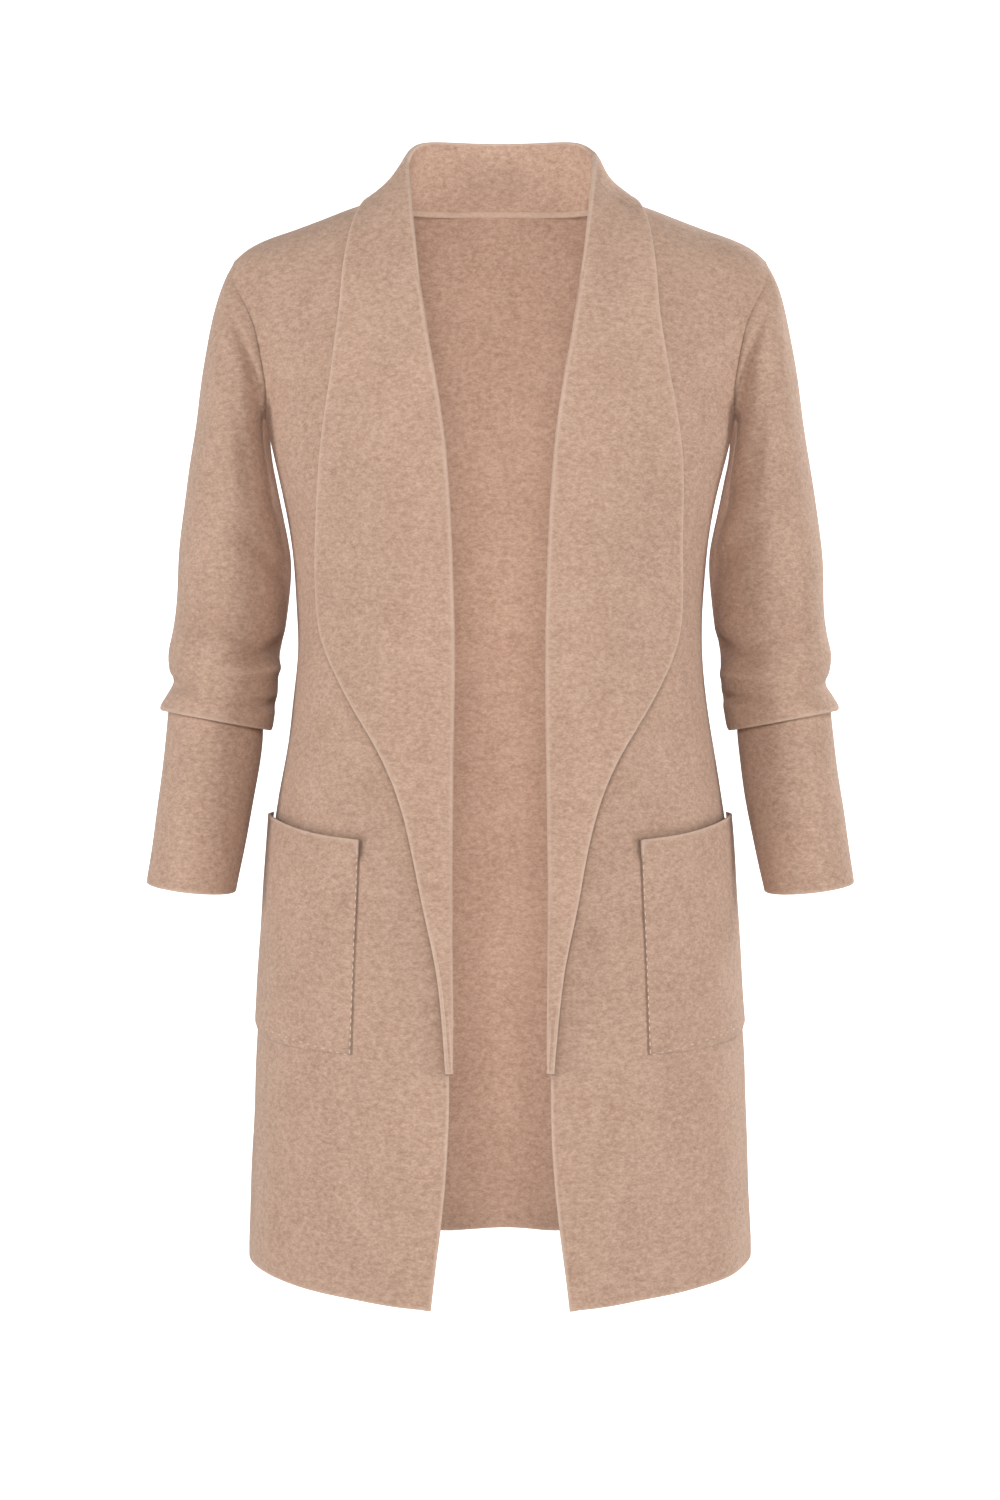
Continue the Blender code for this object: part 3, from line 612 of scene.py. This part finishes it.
rawBand = {
    "thicker": 0.00032,
    "groove": 0.00030,
    "bandWidth": 0.0026,
    "grooveAt": 0.0037,
    "grooveWidth": 0.0008,
    "bandSoftness": 0.00025,
    "reach": 0.008,
    "paleReach": 0.0016,
    "pale": 0.55,
}
foldBend = {"from": 55.0, "range": 130.0}


def distanceTree(places):
    tree = KDTree(len(places))
    for i, place in enumerate(places):
        tree.insert(place, i)
    tree.balance()
    return tree


# Points along edges, close enough together to measure distances from
def filledLine(edges, spacing=0.0012):
    places = []
    for edge in edges:
        start, end = edge.verts[0].co, edge.verts[1].co
        steps = max(1, int((end - start).length / spacing))
        places += [start.lerp(end, i / steps) for i in range(steps + 1)]
    return places


# Presses a narrow band along the raw edges, and stores how pale each point is: partly the cut edge's
# own paler tone, partly painted highlight
def shapeRawEdges(shape, edgeTree, ridged):
    shape.normal_update()
    tone = shape.verts.layers.float.new("rawEdgeAndPaintedHighlight")
    for vert in shape.verts:
        place, _, away = edgeTree.find(vert.co)
        vert[tone] = rawBand["pale"] * fading(away, rawBand["paleReach"])
        if not ridged(place) or away > rawBand["reach"]:
            continue
        band = 1.0 / (1.0 + math.exp((away - rawBand["bandWidth"]) / rawBand["bandSoftness"]))
        groove = fading(away - rawBand["grooveAt"], rawBand["grooveWidth"])
        vert.co += vert.normal * (rawBand["thicker"] * band - rawBand["groove"] * groove)


def roundEdges(shape, edges, size):
    bmesh.ops.bevel(
        shape,
        geom=edges,
        offset=size,
        offset_type="OFFSET",
        segments=cloth["roundSteps"],
        profile=0.5,
        affect="EDGES",
        clamp_overlap=True,
    )


# How sharply each point of the surface turns outwards, per metre
def bending(shape):
    shape.normal_update()
    shape.verts.index_update()
    places = points(shape)
    normals = np.array([vert.normal[:] for vert in shape.verts])
    ends = np.array([[vert.index for vert in edge.verts] for edge in shape.edges])
    along = places[ends[:, 1]] - places[ends[:, 0]]
    turn = normals[ends[:, 1]] - normals[ends[:, 0]]
    bend = (turn * along).sum(axis=1) / ((along * along).sum(axis=1) + 1e-12)
    total = np.zeros(len(places))
    count = np.zeros(len(places))
    for column in (0, 1):
        np.add.at(total, ends[:, column], bend)
        np.add.at(count, ends[:, column], 1)
    return total / np.maximum(count, 1)


# Where the cloth bends sharply outwards a painted highlight makes it paler
def paleFolds(shape, amount):
    tone = shape.verts.layers.float["rawEdgeAndPaintedHighlight"]
    folds = np.clip((bending(shape) - foldBend["from"]) / foldBend["range"], 0.0, 1.0)
    folds *= armholeCalm(points(shape))
    for vert, fold in zip(shape.verts, folds):
        vert[tone] = max(vert[tone], amount * fold)


edgeLines = {}  # each piece's raw edges once draped, for what lies beside them
underShade = {"reach": 0.0022, "amount": 0.75, "from": 0.20, "range": 0.55}
outwardDepth = 1.6  # the body is wider than it is deep


# Away from the wearer's middle, level
def outwardsAt(place):
    return Vector((place.x, outwardDepth * place.y, 0.0)).normalized()


# The lower half of a free edge, which faces the cloth beneath, lies in its own fine shade
def shadeUnderEdge(shape, edgeTree):
    shape.normal_update()
    dark = shadeLayer(shape)
    for vert in shape.verts:
        away = edgeTree.find(vert.co)[2]
        if away > 3 * underShade["reach"]:
            continue
        facing = underShade["from"] - vert.normal.dot(outwardsAt(vert.co))
        share = min(1.0, max(0.0, facing / underShade["range"]))
        amount = underShade["amount"] * share * fading(away, underShade["reach"])
        vert[dark] = max(vert[dark], amount)


# One cut piece: smoothed, draped, with rounded rims and its raw edges pressed
def makeCloth(settings):
    shape, rimVerts = cleanShape(settings["node"])
    addSupports(shape, rimVerts)
    shape = smoothed(shape, settings["name"], settings.get("levels", cloth["levels"]))
    closeSeams(shape, settings["raw"], settings.get("sewnTo"))
    raw = [edge for edge in rimEdges(shape) if settings["raw"](middle(edge))]
    rawLine = np.array([place[:] for place in filledLine(raw)])
    roundEdges(shape, raw, cloth["round"])
    roundEdges(shape, rimEdges(shape), cloth["seamRound"])
    for face in shape.faces:
        face.material_index = 0
    movePoints(shape, settings["drape"](points(shape)))
    rawLine = [Vector(place) for place in settings["drape"](rawLine)]
    edgeLines[settings["name"]] = rawLine
    edgeTree = distanceTree(rawLine)
    shapeRawEdges(shape, edgeTree, settings["ridged"])
    if "loosen" in settings:
        settings["loosen"](shape, edgeTree)
        shadeUnderEdge(shape, edgeTree)
    if "paleFolds" in settings:
        paleFolds(shape, settings["paleFolds"])
    piece = newPiece(shape, settings["name"], knit)
    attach(piece, "root")
    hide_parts(settings["node"])
    print("made", settings["name"], len(piece.data.polygons), "faces", len(raw), "raw edges")
    return piece


# Finds places on the surface of one or more pieces
def surfaceTree(*pieces):
    corners, faces = [], []
    for piece in pieces:
        first = len(corners)
        corners += [vertex.co.copy() for vertex in piece.data.vertices]
        faces += [[first + i for i in polygon.vertices] for polygon in piece.data.polygons]
    return BVHTree.FromPolygons(corners, faces)


def nowhere(place):
    return False


# Points along a node's rims, where keep is true
def rimPlaces(nodeName, keep):
    cleaned, rimVerts = cleanShape(nodeName)
    edges = [e for e in cleaned.edges if set(e.verts) <= rimVerts and keep(middle(e))]
    places = filledLine(edges, 0.002)
    cleaned.free()
    return [place.copy() for place in places]


armholePlaces = []
for side in ("left", "right"):
    armholePlaces += rimPlaces("sleeve_" + side, lambda place: place.z > armhole["foot"])
armholeTree = distanceTree(armholePlaces)


# Body

hem = {"level": -0.80, "backHalf": 0.195}
bareEdge = {"level": -0.676, "side": 0.058, "ridgeSide": 0.056}


def frontIsRaw(place):
    return place.z < hem["level"] or (place.z < bareEdge["level"] and abs(place.x) < bareEdge["side"])


backPiece = makeCloth({
    "node": "back",
    "name": "backCloth",
    "raw": lambda place: place.z < hem["level"] and abs(place.x) < hem["backHalf"],
    "ridged": nowhere,
    "drape": drapeBody,
    "sheet": {"flat": (0.50, 0.86), "held": "hung", "rests_on": ["wearer_shoulders"], "area": 0.40},
})

frontPieces = []
for side in ("left", "right"):
    frontPieces.append(makeCloth({
        "node": "front_" + side,
        "name": "frontCloth_" + side,
        "levels": 3,
        "raw": frontIsRaw,
        "ridged": lambda place: abs(place.x) < bareEdge["ridgeSide"] and place.z < bareEdge["level"],
        "drape": drapeBody,
        "sheet": {"flat": (0.25, 0.87), "held": "hung", "rests_on": ["backCloth"], "area": 0.17},
    }))


# Collar

seamPlaces = []
for nodeName in ("back", "front_left", "front_right"):
    seamPlaces += rimPlaces(nodeName, lambda place: True)
seamTree = distanceTree(seamPlaces)

looseEdge = {
    "fromSeam": 0.0024,
    "reach": 0.016,
    "lift": 0.0024,
    "waves": 31.0,
    "waving": 0.35,
    "shift": 1.7,
}
neckRise = {"height": 0.0017, "halfWidth": 0.048, "from": 0.030}


# True along the collar's free edge, False along its seam to the fronts and the back
def isLoose(place):
    return seamTree.find(place)[2] > looseEdge["fromSeam"]


# The free edge stands off the fronts unevenly, and the roll runs level across the nape
def loosenCollar(shape, edgeTree):
    for vert in shape.verts:
        if vert.co.y > 0 and vert.co.z > 0:
            share = min(1.0, vert.co.z / neckRise["from"])
            vert.co.z += neckRise["height"] * share * fading(vert.co.x, neckRise["halfWidth"])
        away = edgeTree.find(vert.co)[2]
        if away > 3 * looseEdge["reach"]:
            continue
        shift = looseEdge["shift"] * math.copysign(1, vert.co.x)
        wave = 1.0 + looseEdge["waving"] * math.sin(looseEdge["waves"] * vert.co.z + shift)
        vert.co += outwardsAt(vert.co) * looseEdge["lift"] * wave * fading(away, looseEdge["reach"])


collarPiece = makeCloth({
    "node": "collar",
    "name": "collarCloth",
    "paleFolds": 0.60,
    "raw": isLoose,
    "ridged": lambda place: True,
    "drape": drapeBody,
    "loosen": loosenCollar,
    "sheet": {"flat": (1.52, 0.17), "held": "folded", "rests_on": ["backCloth"], "area": 0.15},
})


# Sleeves

cuffBand = -0.50
bodyTree = surfaceTree(cadNodes["back"], cadNodes["front_left"], cadNodes["front_right"])
for side, sign in (("left", 1), ("right", -1)):
    makeCloth({
        "node": "sleeve_" + side,
        "name": "sleeveCloth_" + side,
        "levels": 3,
        "paleFolds": 0.55,
        "raw": lambda place: place.z < cuffBand,
        "sewnTo": bodyTree,
        "ridged": nowhere,
        "drape": lambda place, sign=sign: drapeSleeve(place, sign),
        "sheet": {"flat": (0.36, 0.58), "held": "gathered", "rests_on": ["backCloth"], "area": 0.15},
    })


# Pockets

pocket = {
    "innerTop": (0.1055, -0.506),
    "innerFoot": (0.1110, -0.667),
    "outerFoot": (0.1840, -0.6535),
    "mouthLine": -0.515,
    "stitchInset": 0.0019,
    "stitchLength": 0.0034,
    "stitchPitch": 0.0056,
    "stitchWidth": 0.00048,
    "stitchRise": 0.0001,
    "stitchTop": 0.004,
}
sewnDown = {
    "sideReach": 0.018,
    "reach": 0.0050,
    "press": 0.62,
    "pale": 0.35,
    "seamWidth": 0.00085,
    "innerReach": 0.004,
    "innerShade": 0.85,
    "footShade": 0.30,
}


# A function that presses a pocket's sewn edges down on the front and paints shade along the seam line
def sewDown(front):
    tree = surfaceTree(front)

    def press(shape, edgeTree):
        tone = shape.verts.layers.float["rawEdgeAndPaintedHighlight"]
        dark = shadeLayer(shape)
        for vert in shape.verts:
            place, _, away = edgeTree.find(vert.co)
            side = softStep(1.0 + vert.co.y / sewnDown["sideReach"])
            sewn = place.z < pocket["mouthLine"]
            share = max(side, softStep(1.0 - away / sewnDown["reach"]) if sewn else 0.0)
            if sewn:
                vert[tone] *= sewnDown["pale"]
                inner = abs(place.x) < pocket["innerFoot"][0] + sewnDown["innerReach"]
                amount = sewnDown["innerShade"] if inner else sewnDown["footShade"]
                vert[dark] = amount * fading(away, sewnDown["seamWidth"])
            if share > 0.0:
                under = tree.find_nearest(vert.co)[0]
                vert.co = under + (vert.co - under) * (1.0 - sewnDown["press"] * share)

    return press


pocketPieces = []
for side, front in zip(("left", "right"), frontPieces):
    pocketPieces.append(makeCloth({
        "node": "pocket_" + side,
        "name": "pocketCloth_" + side,
        "raw": lambda place: True,
        "ridged": lambda place: place.z > pocket["mouthLine"],
        "drape": drapeBody,
        "loosen": sewDown(front),
        "sheet": {"flat": (0.152, 0.168), "held": "hung", "rests_on": [front.name]},
    }))


contactShade = {"reach": 0.0048, "lapel": 0.34, "mouth": 0.50}


# Paints a soft shadow on the cloth along the edges that lie on it
def shadeBeside(piece, lines):
    tree = distanceTree([place for line, amount in lines for place in line])
    amounts = [amount for line, amount in lines for place in line]
    dark = piece.data.attributes.new("seamShade", "FLOAT", "POINT")
    for i, vert in enumerate(piece.data.vertices):
        place, found, away = tree.find(vert.co)
        if away > 4 * contactShade["reach"]:
            continue
        height = (vert.co - place).dot(vert.normal)
        beside = max(0.0, away * away - height * height)
        dark.data[i].value = amounts[found] * math.exp(-beside / contactShade["reach"] ** 2)


for front, pocketPiece in zip(frontPieces, pocketPieces):
    mouth = [place for place in edgeLines[pocketPiece.name] if place.z > pocket["mouthLine"]]
    lapel = [place for place in edgeLines["collarCloth"] if place.x * front.data.vertices[0].co.x > 0]
    shadeBeside(front, [(mouth, contactShade["mouth"]), (lapel, contactShade["lapel"])])


# Places and directions of the stitches between two points of the left pocket's face
def stitchLine(tree, start, end, sign):
    found = []
    count = int((end - start).length / pocket["stitchPitch"])
    for i in range(count):
        hits = []
        for share in (0.5, 0.6):  # the stitch's middle, and a place a little ahead of it
            spot = start.lerp(end, (i + share) / count)
            hits.append(tree.ray_cast(Vector((sign * spot.x, -0.5, spot.y)), Vector((0, 1, 0))))
        (place, normal, _, _), (ahead, _, _, _) = hits
        if place is not None and ahead is not None:
            found.append((place, normal, (ahead - place).normalized()))
    return found


# One stitch: a small pointed bead that is half sunk in the cloth
def addStitch(shape, place, normal, along):
    beads = bmesh.ops.create_icosphere(shape, subdivisions=2, radius=1.0)["verts"]
    across = normal.cross(along).normalized()
    up = along.cross(across).normalized()
    if up.dot(normal) < 0:
        up = -up
    size = (pocket["stitchLength"] / 2, pocket["stitchWidth"], pocket["stitchWidth"])
    for bead in beads:
        offset = along * bead.co.x * size[0] + across * bead.co.y * size[1] + up * bead.co.z * size[2]
        bead.co = place + up * pocket["stitchRise"] + offset


# Down the inner side and along the foot. The side seam holds the outer side.
def sewPocket(piece, side, sign):
    tree = surfaceTree(piece)
    inset = pocket["stitchInset"]
    top = Vector(pocket["innerTop"]) + Vector((inset, -pocket["stitchTop"]))
    corner = Vector(pocket["innerFoot"]) + Vector((inset, inset))
    outer = Vector(pocket["outerFoot"]) + Vector((0.0, inset))
    stitches = bmesh.new()
    for start, end in ((top, corner), (corner, outer)):
        for place, normal, along in stitchLine(tree, start, end, sign):
            addStitch(stitches, place, normal, along)
    sewing = newPiece(stitches, "pocketStitches_" + side, thread)
    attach(sewing, "root")


sewPocket(pocketPieces[0], "left", 1)
sewPocket(pocketPieces[1], "right", -1)
print("made pocket stitches")


# Back neck seam

# Covered inside by a narrow strip of the same knit
neckStrip = {
    "middleLevel": 0.0034,
    "halfWidth": 0.06,
    "fall": 1.05,
    "height": 0.0052,
    "proud": 0.0017,
    "sunk": -0.0008,
    "fullness": 0.6,
    "sweep": 84,
    "samples": 71,
    "evened": 3,
    "pale": 0.35,
}


# The strip's outline in a section, as (up, out from the wall)
def neckStripOutline():
    half = neckStrip["height"] / 2
    outline = []
    for i in range(11):
        angle = math.pi * i / 10
        out = neckStrip["proud"] * math.sin(angle) ** neckStrip["fullness"]
        outline.append((half * math.cos(angle), out))
    return outline + [(-half, neckStrip["sunk"]), (half, neckStrip["sunk"])]


# The first place that a level ray from the neck's middle meets
def innerWall(trees, level, direction):
    hits = [tree.ray_cast(Vector((0.0, 0.0, level)), direction)[0] for tree in trees]
    return min((hit for hit in hits if hit is not None), key=lambda hit: hit.length)


def neckStripLevel(angle):
    return neckStrip["middleLevel"] - neckStrip["fall"] * (neckStrip["halfWidth"] * math.sin(angle)) ** 2


# How far the wall lies from the neck's middle, evened out along the seam
def neckReaches(angles):
    trees = [surfaceTree(collarPiece), surfaceTree(backPiece)]
    reaches = []
    for angle in angles:
        direction = Vector((math.sin(angle), math.cos(angle), 0.0))
        above = neckStripLevel(angle) + neckStrip["height"] / 2
        reaches.append(innerWall(trees, above, direction).length)
    reaches = np.array(reaches)
    for _ in range(neckStrip["evened"]):
        reaches[1:-1] = (reaches[:-2] + 2 * reaches[1:-1] + reaches[2:]) / 4
    return reaches


# A ring spun round an even circle, then moved to the wall's own distance and level
def makeNeckStrip():
    sweep = math.radians(neckStrip["sweep"])
    angles = np.linspace(-sweep, sweep, neckStrip["samples"])
    reaches = neckReaches(angles)
    shape = bmesh.new()
    start = Vector((math.sin(-sweep), math.cos(-sweep), 0.0))
    ring = [shape.verts.new(start * (1.0 - out) + Vector((0, 0, up))) for up, out in neckStripOutline()]
    edges = [shape.edges.new(ends) for ends in zip(ring, ring[1:] + ring[:1])]
    bmesh.ops.spin(
        shape,
        geom=ring + edges,
        axis=(0.0, 0.0, 1.0),
        angle=-2 * sweep,
        steps=neckStrip["samples"] - 1,
        use_merge=False,
    )
    bmesh.ops.edgeloop_fill(shape, edges=[edge for edge in shape.edges if edge.is_boundary])
    tone = shape.verts.layers.float.new("rawEdgeAndPaintedHighlight")
    for vert in shape.verts:
        angle = math.atan2(vert.co.x, vert.co.y)
        reach = float(np.interp(angle, angles, reaches))
        out = 1.0 - math.hypot(vert.co.x, vert.co.y)
        outwards = Vector((math.sin(angle), math.cos(angle), 0.0))
        vert.co = outwards * (reach - out) + Vector((0, 0, neckStripLevel(angle) + vert.co.z))
        # A painted highlight makes the whole strip paler
        vert[tone] = neckStrip["pale"]
    strip = newPiece(shape, "neckSeamStrip", knit)
    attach(strip, "root")
    print("made neck strip", len(strip.data.polygons), "faces")


makeNeckStrip()


# Stage, light and camera

stage = {
    "floor": -1.42,
    "wall": 3.4,
    "halfWidth": 5.0,
    "bend": 1.0,
    "front": -4.5,
    "top": 3.2,
    "tone": 0.75,
    "glow": 0.9,
}


# A pale floor that bends up into a pale wall
def makeStage():
    profile = [(stage["front"], stage["floor"])]
    for i in range(17):
        angle = math.pi / 2 * i / 16
        reach = stage["wall"] - stage["bend"] + stage["bend"] * math.sin(angle)
        profile.append((reach, stage["floor"] + stage["bend"] * (1 - math.cos(angle))))
    profile.append((stage["wall"], stage["top"]))
    shape = bmesh.new()
    line = [shape.verts.new((-stage["halfWidth"], y, z)) for y, z in profile]
    edges = [shape.edges.new(ends) for ends in zip(line, line[1:])]
    made = bmesh.ops.extrude_edge_only(shape, edges=edges)["geom"]
    verts = [part for part in made if isinstance(part, bmesh.types.BMVert)]
    bmesh.ops.translate(shape, vec=(2 * stage["halfWidth"], 0.0, 0.0), verts=verts)
    material, shader = newMaterial("paleStage")
    shader.inputs["Base Color"].default_value = (stage["tone"], stage["tone"], stage["tone"], 1.0)
    shader.inputs["Roughness"].default_value = 0.9
    shader.inputs["Specular IOR Level"].default_value = 0.1
    path = addNode(material, "ShaderNodeLightPath")
    glow = addNode(material, "ShaderNodeMapRange", {"To Max": stage["glow"]})
    link(material, path.outputs["Is Camera Ray"], glow.inputs["Value"])
    link(material, glow.outputs["Result"], shader.inputs["Emission Strength"])
    shader.inputs["Emission Color"].default_value = (1.0, 1.0, 1.0, 1.0)
    mesh = bpy.data.meshes.new("stage")
    shape.to_mesh(mesh)
    shape.free()
    mesh.materials.append(material)
    mesh.shade_smooth()
    floor = bpy.data.objects.new("stage", mesh)
    scene.collection.objects.link(floor)


lights = [
    {"name": "frontLight", "place": (-0.06, -2.9, 0.35), "size": 0.8, "power": 35.5},
    {"name": "leftLight", "place": (-3.6, -1.8, 0.3), "size": 1.3, "power": 73.0},
    {"name": "rightLight", "place": (3.6, -1.8, 0.2), "size": 1.3, "power": 69.0},
    {"name": "topLight", "place": (0.0, -0.5, 2.6), "size": 1.2, "power": 14.0},
    {"name": "rearLight", "place": (1.9, 2.1, 0.8), "size": 0.9, "power": 57.0},
    {"name": "rearFill", "place": (-2.0, 2.2, 0.2), "size": 1.2, "power": 17.0},
]
insideLight = {"place": (0.0, -0.045, -0.385), "size": (0.07, 0.80), "power": 0.33}
aim = Vector((0.0, 0.0, -0.42))
worldLight = {"seen": 1.0, "shed": 0.05}


def addLamp(name, place, target, power):
    data = bpy.data.lights.new(name, "AREA")
    data.energy = power
    lamp = bpy.data.objects.new(name, data)
    lamp.location = place
    lamp.rotation_euler = (Vector(target) - lamp.location).to_track_quat("-Z", "Y").to_euler()
    scene.collection.objects.link(lamp)
    return data


def makeLights():
    for settings in lights:
        data = addLamp(settings["name"], settings["place"], aim, settings["power"])
        data.shape = "DISK"
        data.size = settings["size"]
    place = insideLight["place"]
    data = addLamp("insideLight", place, (place[0], place[1] + 1.0, place[2]), insideLight["power"])
    data.shape = "RECTANGLE"
    data.size, data.size_y = insideLight["size"]


# White where the camera sees it, and only a little light from all round
def makeWorld():
    world = bpy.data.worlds.new("softLight")
    world.use_nodes = True
    nodes, links = world.node_tree.nodes, world.node_tree.links
    background = nodes["Background"]
    path = nodes.new("ShaderNodeLightPath")
    strength = nodes.new("ShaderNodeMapRange")
    strength.inputs["To Min"].default_value = worldLight["shed"]
    strength.inputs["To Max"].default_value = worldLight["seen"]
    links.new(path.outputs["Is Camera Ray"], strength.inputs["Value"])
    links.new(strength.outputs["Result"], background.inputs["Strength"])
    background.inputs["Color"].default_value = (1.0, 1.0, 1.0, 1.0)
    scene.world = world


photoCamera = {"distance": 2.0, "height": -0.436, "lens": 60.0, "sensor": 36.0}


def makeCamera():
    data = bpy.data.cameras.new("photoCamera")
    data.lens = photoCamera["lens"]
    data.sensor_width = photoCamera["sensor"]
    data.clip_end = 30.0
    eye = bpy.data.objects.new("photoCamera", data)
    eye.location = (0.0, -photoCamera["distance"], photoCamera["height"])
    eye.rotation_euler = (math.pi / 2, 0.0, 0.0)
    scene.collection.objects.link(eye)
    scene.camera = eye


makeStage()
makeLights()
makeWorld()
makeCamera()
scene.view_settings.view_transform = "Standard"
print("made stage, lights and camera")
